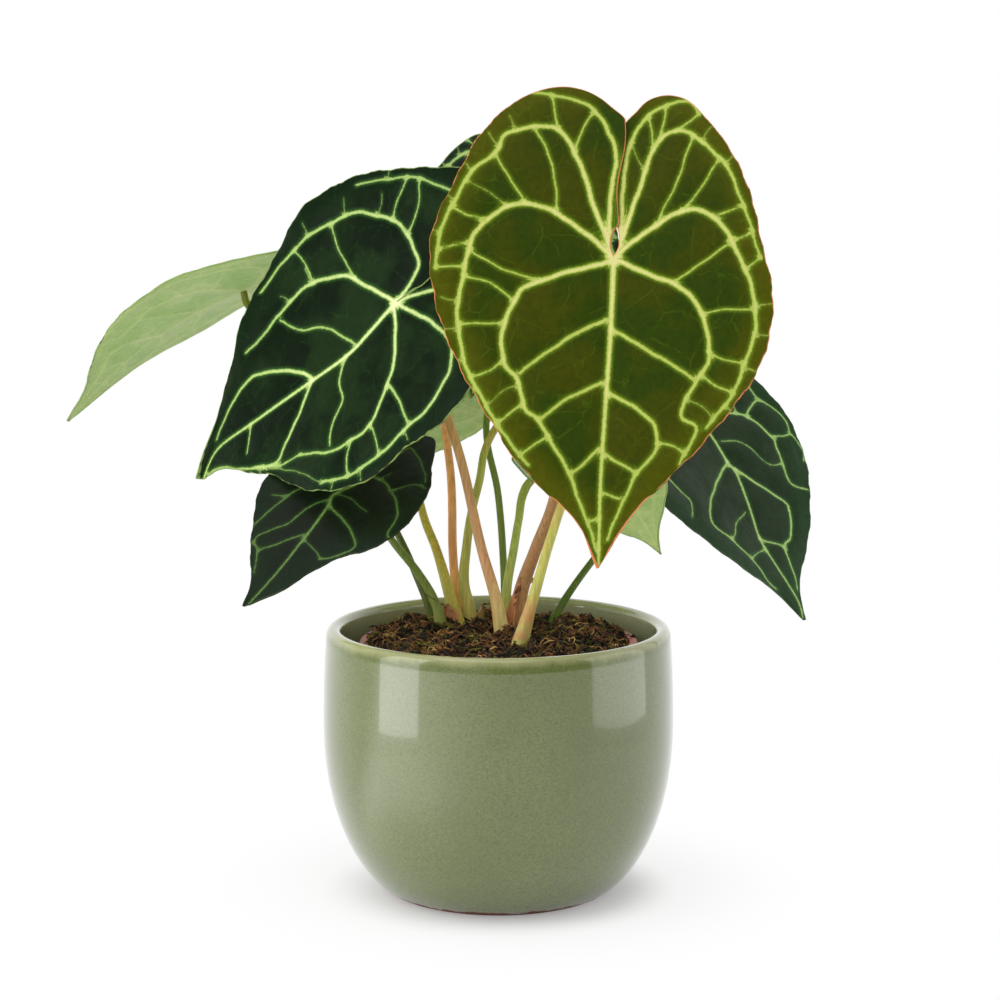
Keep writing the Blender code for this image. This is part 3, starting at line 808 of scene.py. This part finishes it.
# %% Stalk table
SOIL_LEVEL = 106.0
STALKS = {
    "front": dict(foot=(6.5, 13), thick=(4.2, 2.3, 1.9), flare=22,
                  route=((9, 10, 122), (15, 1, 142), (22, -10, 163), (25, -19, 180),
                         (31, -31, 205), (41, -34, 240)),
                  tints=((218, 168, 120), (182, 140, 96), (146, 124, 72))),
    "left": dict(foot=(2, 1), thick=(4.2, 2.4, 1.5),
                 route=((-1, 1, 122), (-7, 3, 143), (-15, 5, 178), (-21, 8, 198), (-30, 10, 230)),
                 tints=((224, 204, 132), (220, 168, 118), (188, 166, 86))),
    "low": dict(foot=(-23, 14), thick=(3.0, 2.0, 1.2),
                route=((-26, 14, 117), (-33, 14, 130), (-43, 13, 143), (-53, 13, 157)),
                tints=((146, 158, 82), (116, 138, 58), (100, 124, 50))),
    "right": dict(foot=(21, 22), thick=(2.0, 1.5, 1.3),
                  route=((26, 26, 114), (31.5, 29, 122), (40, 35, 132.5), (55, 46, 150),
                         (70, 60, 173)),
                  tints=((98, 122, 48), (104, 130, 52), (124, 136, 58))),
    "back": dict(foot=(-27, 26), thick=(2.3, 1.7, 1.3),
                 route=((-30, 27, 116), (-35, 29, 128), (-40, 32, 139), (-68, 46, 188),
                        (-98, 88, 228)),
                 tints=((104, 116, 52), (94, 108, 48), (116, 120, 40))),
    "middle": dict(foot=(-17, 21), thick=(4.4, 2.2, 1.4),
                   route=((-20, 22, 118), (-26, 31, 137), (-32, 42, 151), (-37, 70, 176)),
                   tints=((210, 200, 100), (198, 182, 76), (190, 170, 66))),
    "top": dict(foot=(-16, 34), thick=(2.4, 2.1, 1.3),
                route=((-19, 36, 130), (-20, 41, 165), (-24, 60, 205), (-15, 84, 245)),
                tints=((255, 198, 110), (255, 184, 122), (232, 158, 124))),
    "rear": dict(foot=(3, 32), thick=(1.8, 1.7, 1.2),
                 route=((2.2, 33, 130), (0, 32, 160), (-5, 33, 193), (9, 46, 236)),
                 tints=((146, 164, 72), (122, 144, 58), (104, 128, 50))),
    "inner": dict(foot=(-11, 26), thick=(3.6, 2.0, 1.4), flare=14,
                  route=((-14.5, 26, 124), (-13.4, 25.5, 140), (-11.2, 25, 155), (-8, 24, 168),
                         (-5, 22.5, 183), (3, 23, 196)),
                  tints=((214, 202, 118), (184, 190, 86), (176, 180, 76))),
    "centre": dict(foot=(2, 23), thick=(2.6, 2.1, 1.5),
                   route=((4, 24, 126), (6.3, 26, 138), (8.4, 30, 150)),
                   tints=((200, 206, 110), (184, 200, 100), (186, 202, 112))),
    "under": dict(foot=(8.5, -17), thick=(4.2, 2.3, 1.6),
                  route=((13, -18, 122), (17, -18, 136), (21, -18, 150), (28.5, -17, 171)),
                  tints=((204, 214, 120), (206, 202, 104), (214, 182, 126))),
}
print(len(STALKS), "stalks")


# %% Stalk curves
SEAT_LIFT = 0.75              # the stalk's end stands this far below the blade's upper face
KNEE_LENGTH, KNEE_SWELL = 6.0, 1.18


def stalk_route(name):
    """Foot, route, and the knee that meets the blade's underside square on."""
    stalk, leaf = STALKS[name], LEAVES[name]
    turn = leaf_matrix(leaf)
    out, tipwards = turn @ Vector((0, 0, 1)), turn @ Vector((0, -1, 0))
    foot, first = Vector((*stalk["foot"], SOIL_LEVEL)), Vector(stalk["route"][0])
    seat = Vector(leaf["seat"]) + tipwards * 3.0 - out * SEAT_LIFT
    route = [foot * 1.35 - first * 0.35, foot * 0.55 + first * 0.45]
    route += [Vector(p) for p in stalk["route"]] + [seat - out * KNEE_LENGTH, seat]
    return [p * MM for p in route], out


def stalk_radius(stalk, point, share):
    """A stalk flares over its first millimetres and then tapers evenly to the blade."""
    low, middle, high = stalk["thick"]
    above = max(0.0, point.z / MM - SOIL_LEVEL)
    flare = (low - middle) * 2.718 ** (-above / stalk.get("flare", 9.0))
    return (middle + (high - middle) * share + flare) * MM


def round_curve(name, resolution, bevel_resolution):
    """An empty curve with a round section; each point's radius is its real one."""
    curve = bpy.data.curves.new(name, "CURVE")
    curve.dimensions, curve.use_fill_caps = "3D", True
    curve.resolution_u, curve.bevel_resolution = resolution, bevel_resolution
    curve.bevel_depth = 1.0
    return curve


print("the front stalk has", len(stalk_route("front")[0]), "points")


# %% Stalk pieces
def build_stalk(name):
    """A stalk as one curve that ends square on its blade."""
    points, out = stalk_route(name)
    curve = round_curve(name + "_stalk", 10, 5)
    spline = curve.splines.new("BEZIER")
    last = len(points) - 1
    spline.bezier_points.add(last)
    for i, (knot, point) in enumerate(zip(spline.bezier_points, points)):
        knot.co = point
        knot.handle_left_type = knot.handle_right_type = "AUTO"
        knee = KNEE_SWELL if i >= last - 1 else 1.0
        knot.radius = stalk_radius(STALKS[name], point, i / last) * knee
    end = spline.bezier_points[-1]
    end.handle_left_type = end.handle_right_type = "ALIGNED"
    end.handle_left, end.handle_right = end.co - out * 3.0 * MM, end.co + out * 1.0 * MM
    return add_piece(curve, name + "_stalk", name + "_petiole", slot="stalk")


stalks = {name: build_stalk(name) for name in STALKS}
print("stalks made:", len(stalks))

# %% [markdown]
# ## The finish of a stalk
# Real stalks are streaked lengthwise and change tint on the way up, often pinkish where they
# leave the soil. The height above the pot drives the tint, and noise that is stretched along
# the height draws the streaks.

# %% Stalk paint group
p = stalk_paint = PaintGroup(
    "stalk_paint", Foot=paint(170, 160, 100), Middle=paint(160, 160, 90), Top=paint(150, 150, 80),
    Flush=paint(224, 140, 100))
here = p.place()
up = p.axes(here)[2]
streaks = p.clouds(p.place((1100, 1100, 45)), 1.0, 3.0, 0.6)
patches = p.clouds(here, 60.0, 2.0)
level = p.add(up, p.times(p.less(patches, 0.5), 0.02))
colour = p.blend(p.fade(level, 0.106, 0.140), p.given["Foot"], p.given["Middle"])
colour = p.blend(p.fade(level, 0.15, 0.25), colour, p.given["Top"])
dark = p.blend(1.0, colour, (0.80, 0.80, 0.74, 1.0), "MULTIPLY")
light = p.blend(1.0, colour, (1.18, 1.16, 1.10, 1.0), "MULTIPLY")
colour = p.blend(p.fade(streaks, 0.3, 0.7), dark, light)
flush = p.times(p.fade(up, 0.112, 0.135, 0.8, 0.15), p.fade(patches, 0.48, 0.62))
p.finish(p.blend(flush, colour, p.given["Flush"]), streaks)

# %% Stalk materials
FLUSHED = ("front", "left", "middle", "top", "inner", "under")
PINK = paint(224, 140, 100)
for name, stalk in stalks.items():
    skin = Finish(name + "_stalk_finish", Roughness=0.4, Specular_IOR_Level=0.3)
    foot, middle, top = [paint(*tint) for tint in STALKS[name]["tints"]]
    warm = PINK if name in FLUSHED else foot
    skin.painted(stalk_paint, 0.0003, 0.4, Foot=foot, Middle=middle, Top=top, Flush=warm)
    stalk.data.materials.append(skin.material)
print("stalk materials:", len(stalks))

# %% [markdown]
# ## The papery sheaths
# Each shoot left a dry scale round its foot. A scale is part of a tube that narrows to a point
# and leans out. It starts as a grid that is wrapped round the shoot.

# %% Sheaths
SHEATHS = {
    "pink_sheath": dict(centre=(2, 1), radius=4.4, facing=35, sweep=110, height=19, lean=1.2,
                        tint=(226, 158, 118)),
    "red_sheath": dict(centre=(-17, 21), radius=4.9, facing=215, sweep=120, height=12, lean=0.6,
                       tint=(206, 146, 104)),
    "straw_sheath": dict(centre=(-10, 26), radius=3.7, facing=-40, sweep=100, height=11, lean=0.8,
                         tint=(206, 176, 122)),
}
PAPER = 0.3                   # thickness in millimetres


def sheath_point(sheath, across, up):
    """Place of a grid point: across runs from -1 to 1, up from 0 at the foot to 1."""
    width = (1.0 - up ** 2.2) * 0.82 + 0.18
    bearing = radians(sheath["facing"] + across * width * sheath["sweep"] / 2)
    radius = sheath["radius"] + sheath["lean"] * up ** 2 + 0.12 * sin(across * 17 + up * 5)
    height = SOIL_LEVEL - 1 + sheath["height"] * up * (1.0 - 0.12 * across ** 2)
    x, y = sheath["centre"]
    return Vector((x + radius * cos(bearing), y + radius * sin(bearing), height)) * MM


def finish_mesh(bm, name):
    """Turn a bmesh into a smooth mesh with its faces outwards."""
    bmesh.ops.recalc_face_normals(bm, faces=bm.faces)
    mesh = bpy.data.meshes.new(name)
    bm.to_mesh(mesh)
    bm.free()
    mesh.shade_smooth()
    return mesh


def build_sheath(name, sheath):
    """A scale: a grid wrapped round the shoot and thickened."""
    bm = bmesh.new()
    bmesh.ops.create_grid(bm, x_segments=26, y_segments=22, size=0.5)
    for vert in bm.verts:
        vert.co = sheath_point(sheath, vert.co.x * 2, vert.co.y + 0.5)
    bmesh.ops.recalc_face_normals(bm, faces=bm.faces)
    bmesh.ops.solidify(bm, geom=bm.verts[:] + bm.edges[:] + bm.faces[:], thickness=PAPER * MM)
    return add_piece(finish_mesh(bm, name + "_scale"), name + "_scale", name, slot="sheath")


scales = {name: build_sheath(name, sheath) for name, sheath in SHEATHS.items()}
print("sheaths made:", len(scales))

# %% [markdown]
# ## The finish of the sheaths
# A dry scale is matt and papery, with the streaks of the shoot that it came from. It has one
# tint, a little darker at the foot where the soil keeps it damp.


# %% Sheath materials
def paint_sheath(piece, name, tint):
    """The stalk's paint again, in one tint that is darker at the foot."""
    skin = Finish(name + "_finish", Roughness=0.6)
    foot = skin.blend(1.0, tint, (0.8, 0.7, 0.6, 1), "MULTIPLY")
    skin.painted(stalk_paint, 0.0004, 0.8, Foot=foot, Middle=tint, Top=tint, Flush=tint)
    piece.data.materials.append(skin.material)


for name, piece in scales.items():
    paint_sheath(piece, name, paint(*SHEATHS[name]["tint"]))
print("sheath materials:", len(scales))

# %% [markdown]
# ## The pot
# The pot was thrown on a wheel, so its profile is spun round the axis. The wall leans in a
# little above the belly, and the rim is a soft roll. A spin with many steps keeps the
# outline round, and subdividing a coarse lathe would give the same at a higher cost.

# %% The lathe
def lathe(name, profile, steps=192):
    """Spin a profile of (radius, height) points round the axis."""
    bm = bmesh.new()
    points = [bm.verts.new((r * MM, 0.0, z * MM)) for r, z in profile]
    edges = [bm.edges.new(pair) for pair in zip(points, points[1:])]
    bmesh.ops.spin(bm, geom=points + edges, cent=(0, 0, 0), axis=(0, 0, 1), angle=2 * pi,
                   steps=steps, use_merge=True)
    bmesh.ops.remove_doubles(bm, verts=bm.verts, dist=1e-6)
    return finish_mesh(bm, name)


# %% Pot
FOOT, BELLY, BELLY_HEIGHT = 42.0, 72.5, 71.0
RIM, LIP, TALL, MOUTH = 70.8, 3.0, 111.4, 64.8


def pot_radius(height):
    """Outside radius of the pot at a height."""
    if height < BELLY_HEIGHT:
        share = 1.0 - height / BELLY_HEIGHT
        return FOOT + (BELLY - FOOT) * (1.0 - share ** 2.13) ** 0.625
    share = (height - BELLY_HEIGHT) / (TALL - BELLY_HEIGHT)
    return BELLY - (BELLY - RIM) * share ** 2


heights = [0.25, 0.8, 1.6, 3, 5, 8, 12, 17, 23, 30, 38, 47, 56, 64, 71, 78, 86, 94, 101, 105,
           TALL - LIP]
under = [(0, 0.8), (37.5, 0.8), (38.5, 0.0), (FOOT - 0.6, 0.0)]
outside = [(pot_radius(z), z) for z in heights]
lip = [(RIM - LIP + LIP * cos(radians(a)), TALL - LIP + LIP * sin(radians(a)))
       for a in range(15, 166, 15)]
inside = [(MOUTH, TALL - LIP - 0.6), (MOUTH, TALL - 6), (MOUTH + 0.6, 99), (MOUTH + 1.0, 92),
          (MOUTH + 1.6, 71), (64.6, 54), (61.5, 36), (53, 15), (44, 7), (0, 7)]
pot = add_piece(lathe("glazed_pot", under + outside + lip + inside), "glazed_pot", "pot",
                slot="glazed_stoneware")
print("pot: %d faces" % len(pot.data.polygons))

# %% [markdown]
# ## The glaze
# The glaze is a milky sage green over pale stoneware. It holds tiny darker specks, pools a
# little unevenly, and runs thin over the rim, where the warm clay shows through. The foot is
# wiped bare, and its dark band is drawn wider and darker as painted shadow where the pot
# meets the floor. The height tells the shader where rim and foot are.

# %% Glaze
WET, BARE = 0.16, 0.7         # roughness of the glaze and of the bare foot
glaze = Finish("sage_glaze", Coat_Weight=1.0, Coat_Roughness=0.05, Coat_IOR=1.55)
here = glaze.place()
up = glaze.axes(here)[2]
pools = glaze.clouds(here, 22.0, 3.0, 0.55)
grain = glaze.clouds(glaze.place((1, 1, 1.6)), 1000.0, 3.0, 0.75)
specks = glaze.clouds(here, 900.0, 1.0, 0.5)
colour = glaze.blend(glaze.fade(pools, 0.3, 0.7), paint(102, 114, 58), paint(113, 125, 68))
colour = glaze.blend(glaze.fade(grain, 0.40, 0.64, 0.0, 0.95), colour, paint(86, 97, 45))
colour = glaze.blend(glaze.fade(specks, 0.68, 0.76, 0.0, 0.6), colour, paint(70, 74, 34))

# Inside, a paler colour is painted on the glaze as a painted highlight: it stands in for the light and
# reflections on the inner wall.
away = glaze.length(glaze.place((1, 1, 0)))
painted_inner_light = glaze.times(glaze.fade(away, 0.0655, 0.0670, 1.0, 0.0), glaze.fade(up, 0.05, 0.06))
colour = glaze.blend(glaze.times(painted_inner_light, 0.9), colour, paint(196, 202, 164))

# It runs thin over the rim, and the foot is bare clay with painted shadow: its band is wider and
# darker than the bare clay alone, as the contact shadow. Both lines waver a little.
run = glaze.clouds(glaze.place((160, 160, 30)), 1.0, 3.0, 0.6)
line = glaze.add(up, glaze.times(glaze.less(run, 0.5), 0.004))
thin = glaze.times(glaze.fade(line, 0.1070, 0.1108), 0.75)
colour = glaze.blend(thin, colour, paint(168, 168, 116))
foot = glaze.fade(line, 0.0019, 0.0029, 1.0, 0.0)
colour = glaze.blend(foot, colour, paint(112, 62, 40))
glaze.look(Base_Color=colour, Roughness=glaze.fade(foot, 0.0, 1.0, WET, BARE),
           Coat_Weight=glaze.less(1.0, foot))
glaze.bump(glaze.add(pools, glaze.times(grain, 0.02)), 0.0006, 0.2)
pot.data.materials.append(glaze.material)
print("glaze has", len(glaze.tree.nodes), "nodes")

# %% [markdown]
# ## The nursery pot
# Inside stands the thin plastic pot the plant was grown in. Only its terracotta rim shows.

# %% Nursery pot
NURSERY = [(0, 7.3), (38.5, 7.3), (40, 8.8), (54.2, 100), (56.9, 100), (57.5, 100.4),
           (57.5, 104.5), (57.3, 104.9), (56.9, 105), (54.4, 105), (54.0, 104.6), (53.0, 99),
           (38.8, 8.5), (0, 8.5)]
liner = add_piece(lathe("nursery_liner", NURSERY, 128), "nursery_liner", "nursery_pot",
                  slot="nursery_plastic")
plastic = Finish("terracotta_plastic", Roughness=0.45)
smears = plastic.fade(plastic.clouds(plastic.place(), 90.0, 4.0, 0.6), 0.45, 0.7)
plastic.look(Base_Color=plastic.blend(smears, paint(176, 84, 60), paint(130, 66, 46)))
plastic.bump(plastic.clouds(plastic.place(), 700.0), 0.0002, 0.4)
liner.data.materials.append(plastic.material)
print("nursery pot rim at %.0f mm" % max(z for _, z in NURSERY))

# %% [markdown]
# ## Soil and moss
# The soil is a dark, crumbly mound. Loose fibres and moss lie over it and hide the feet of
# the stalks. The mound is a disc pushed about by noise, and the fibres are thin bevelled
# curves with few sides, because there are many of them.

# %% Soil mound
SOIL_RADIUS, SOIL_TOP, SOIL_DEPTH = 53.6, 106.2, 8


def soil_height(x, y):
    """Height of the soil in millimetres."""
    away = (x * x + y * y) ** 0.5
    rough = noise.fractal(Vector((x, y, 0)) * 0.09, 1.0, 2.0, 4) * 3.4
    rough += abs(noise.noise(Vector((x, y, 3)) * 0.22)) * 6.0
    return SOIL_TOP + rough + 0.02 * y - 3.6 * (away / SOIL_RADIUS) ** 6


def build_mound(name):
    """A disc pushed up by noise, with a wall and a floor below."""
    bm = bmesh.new()
    bmesh.ops.create_circle(bm, cap_ends=True, cap_tris=True, segments=120,
                            radius=SOIL_RADIUS * MM)
    spokes = [e for e in bm.edges if not e.is_boundary]
    bmesh.ops.subdivide_edges(bm, edges=spokes, cuts=34, use_grid_fill=True)
    for vert in bm.verts:
        vert.co.z = soil_height(vert.co.x / MM, vert.co.y / MM) * MM
    wall = bmesh.ops.extrude_edge_only(bm, edges=[e for e in bm.edges if e.is_boundary])["geom"]
    low = [v for v in wall if isinstance(v, bmesh.types.BMVert)]
    bmesh.ops.translate(bm, verts=low, vec=(0, 0, -SOIL_DEPTH * MM))
    bmesh.ops.holes_fill(bm, edges=[e for e in bm.edges if e.is_boundary])
    return add_piece(finish_mesh(bm, name), name, "soil", slot="mossy_soil")


mound = build_mound("soil_mound")
print("soil mound: %d points" % len(mound.data.vertices))

# %% Peat
peat = Finish("peat", Roughness=0.9)
crumbs = peat.clouds(peat.place(), 420.0, 4.0, 0.65)
patch = peat.clouds(peat.place(), 70.0, 3.0, 0.6)
colour = peat.blend(peat.fade(crumbs, 0.35, 0.7), paint(10, 6, 3), paint(50, 30, 15))
colour = peat.blend(peat.fade(patch, 0.55, 0.7, 0.0, 0.5), colour, paint(62, 58, 22))
peat.look(Base_Color=colour)
peat.bump(crumbs, 0.002)
mound.data.materials.append(peat.material)
print("peat has", len(peat.tree.nodes), "nodes")


# %% One strand
TAPER = (1.0, 1.1, 0.9, 0.6, 0.3)     # how thick a strand is at its five points
STRAND_REACH, INSIDE_POT = 55.0, 57.0


def lay_strand(spline, chance, length, radius, rise, curl):
    """One short curved strand that lies on the soil."""
    away, bearing = STRAND_REACH * chance.random() ** 0.5, 2 * pi * chance.random()
    here = Vector((away * cos(bearing), away * sin(bearing), 0))
    here.z = soil_height(here.x, here.y) + chance.uniform(-0.3, 0.8)
    heading, turn = 2 * pi * chance.random(), chance.uniform(-curl, curl)
    slope = chance.uniform(-0.2, 1.2)
    size = chance.uniform(*length) / 4
    spline.points.add(4)
    spline.use_endpoint_u = True
    spline.order_u = 3
    thick = chance.uniform(*radius)
    for knot, share in zip(spline.points, TAPER):
        knot.co = (*(here * MM), 1.0)
        knot.radius = thick * share * MM
        heading += turn + chance.uniform(-0.4, 0.4)
        here += Vector((cos(heading), sin(heading), slope)) * size
        slope -= chance.uniform(0.2, 0.8)
        here.xy *= min(1.0, INSIDE_POT / max(here.xy.length, 1.0))
        ground = soil_height(here.x, here.y)
        here.z = min(max(here.z, ground - 0.4), ground + rise)


print("a strand's root is %.1f times as thick as its tip" % (TAPER[0] / TAPER[-1]))

# %% [markdown]
# ## Fibres and moss
# Coarse peat fibres, dark roots, tufts of moss and bits of straw differ in number, length,
# thickness and curl. Each kind is one object with its own pair of colours.


# %% Fibres and moss
def strand_material(name, first, second):
    """Two colours in patches, with darker streaks."""
    fibre = Finish(name, Roughness=0.75)
    shift = fibre.clouds(fibre.place(), 160.0, 2.0)
    streak = fibre.clouds(fibre.place(), 900.0, 2.0)
    colour = fibre.blend(fibre.fade(shift, 0.35, 0.65), paint(*first), paint(*second))
    dark = fibre.blend(1.0, colour, (0.45, 0.4, 0.35, 1), "MULTIPLY")
    fibre.look(Base_Color=fibre.blend(fibre.fade(streak, 0.4, 0.7, 0.0, 0.5), colour, dark))
    return fibre.material


# Name, count, seed; length, radius, rise and curl; the two colours.
STRANDS = (
    ("peat_fibres", 2600, 3, ((4, 8), (0.22, 0.46), 1.8, 1.5), ((64, 36, 16), (150, 96, 50))),
    ("dark_roots", 700, 4, ((5, 10), (0.3, 0.7), 1.5, 1.2), ((18, 10, 6), (44, 26, 13))),
    ("green_moss", 1200, 5, ((3, 7), (0.2, 0.44), 2.2, 1.6), ((62, 60, 12), (130, 122, 36))),
    ("straw_bits", 320, 6, ((4, 8), (0.16, 0.34), 2.6, 1.3), ((176, 128, 66), (222, 184, 116))),
)
for name, count, seed, habit, tints in STRANDS:
    chance = np.random.default_rng(seed)
    curve = round_curve(name, 1, 0)
    for _ in range(count):
        lay_strand(curve.splines.new("NURBS"), chance, *habit)
    add_piece(curve, name, slot="mossy_soil").data.materials.append(
        strand_material(name + "_finish", *tints))
    print(name, count)

# %% [markdown]
# ## Studio
# A white floor, two tall soft boxes at the sides and a large one above. The boxes show as
# upright bands in the glaze. The floor is partly its own white for the camera, so that it
# stays clean and still keeps the pot's shadow. In reflections the floor and the wall are
# brighter on the left, as if white cards stood there, and more of the soft light that fills
# the shadows comes from the left as well.

# %% Floor
bm = bmesh.new()
bmesh.ops.create_grid(bm, x_segments=2, y_segments=2, size=8.0)
mesh = bpy.data.meshes.new("studio_floor")
bm.to_mesh(mesh)
bm.free()
floor = bpy.data.objects.new("studio_floor", mesh)
bpy.context.collection.objects.link(floor)
white = Finish("floor_white", Base_Color=(0.9, 0.9, 0.9, 1), Roughness=0.9)
rays = white.node("LightPath").outputs
glossy = rays["Is Glossy Ray"]
x, y, _ = white.axes(white.place())
away = white.length(white.place())

# The card: more light in reflections of the floor on the left and in front.
card = white.times(glossy, white.fade(white.math("DIVIDE", x, away), -1.0, 0.0, 1.7, 0.0))
card = white.times(card, white.fade(white.math("DIVIDE", y, away), -0.3, 0.05, 1.0, 0.0))
card = white.times(card, white.fade(away, 0.07, 0.20))
glow = white.node("Emission", {"Color": (1, 1, 1, 1), "Strength": white.add(1.0, card)})

# The floor's own white gives way to shadow near the pot.
share = white.add(white.fade(away, 0.050, 0.076, 0.28, 0.74), white.fade(away, 0.045, 0.14, 0.0, 0.26))
seen = white.most(rays["Is Camera Ray"], white.times(glossy, 0.6))
shaded = white.tree.nodes["Principled BSDF"].outputs[0]
mix = white.node("MixShader", {0: white.times(share, seen), 1: shaded, 2: glow.outputs[0]})
white.wire(white.tree.nodes["Material Output"], {"Surface": mix.outputs[0]})
mesh.materials.append(white.material)
print("floor is %.0f m wide" % floor.dimensions.x)

# %% World
world = bpy.data.worlds.new("studio")
bpy.context.scene.world = world
world.use_nodes = True
room = Nodes(world.node_tree)
rays = room.node("LightPath").outputs
x, y, _ = room.axes(room.node("TexCoord").outputs["Generated"])
mirror = room.most(room.fade(y, -0.2, 0.75, 0.12, 1.0), room.fade(x, -0.25, -0.05, 0.5, 0.12))
fill = room.fade(x, -1.0, 1.0, 1.3, 0.3)
level = room.node("Mix", {0: rays["Is Glossy Ray"], 2: fill, 3: mirror}).outputs[0]
level = room.most(room.most(level, rays["Is Camera Ray"]), rays["Is Transmission Ray"])
room.wire(room.tree.nodes["Background"], {"Color": (1, 1, 1, 1), "Strength": level})
print("world has", len(room.tree.nodes), "nodes")


# %% Lamps
def soft_box(name, place_at, aim_at, width, height, radiance):
    """A rectangular lamp of even radiance, turned to face a point."""
    lamp = bpy.data.lights.new(name, "AREA")
    lamp.shape = "RECTANGLE"
    lamp.size, lamp.size_y = width, height
    lamp.energy = radiance * pi * width * height
    thing = bpy.data.objects.new(name, lamp)
    thing.location = place_at
    way = Vector(aim_at) - Vector(place_at)
    thing.rotation_euler = way.to_track_quat("-Z", "Y").to_euler()
    thing.visible_camera = False
    bpy.context.collection.objects.link(thing)


soft_box("left_box", (-0.30, -0.165, 0.225), (-0.04, -0.06, 0.225), 0.17, 0.41, 1.95)
soft_box("right_box", (0.35, -0.066, 0.225), (0.05, -0.045, 0.225), 0.29, 0.41, 1.0)
soft_box("top_box", (-0.1, -0.25, 1.6), (0, 0, 0.15), 1.2, 1.2, 1.0)
print("lamps:", len(bpy.data.lights))

# %% [markdown]
# ## Camera
# A long lens a little above the rim looks slightly down at the plant.

# %% Camera
LENS, TILT = 106.4, 0.150     # focal length in millimetres, angle below level in radians
camera = bpy.data.objects.new("camera", bpy.data.cameras.new("camera"))
camera.data.lens = LENS
camera.location = (0.00065, -1.2, 0.345)
camera.rotation_euler = (pi / 2 - TILT, 0.0, 0.0)
bpy.context.collection.objects.link(camera)
bpy.context.scene.camera = camera
bpy.context.scene.view_settings.view_transform = "Standard"
print("camera stands %.2f m from the pot" % camera.location.length)
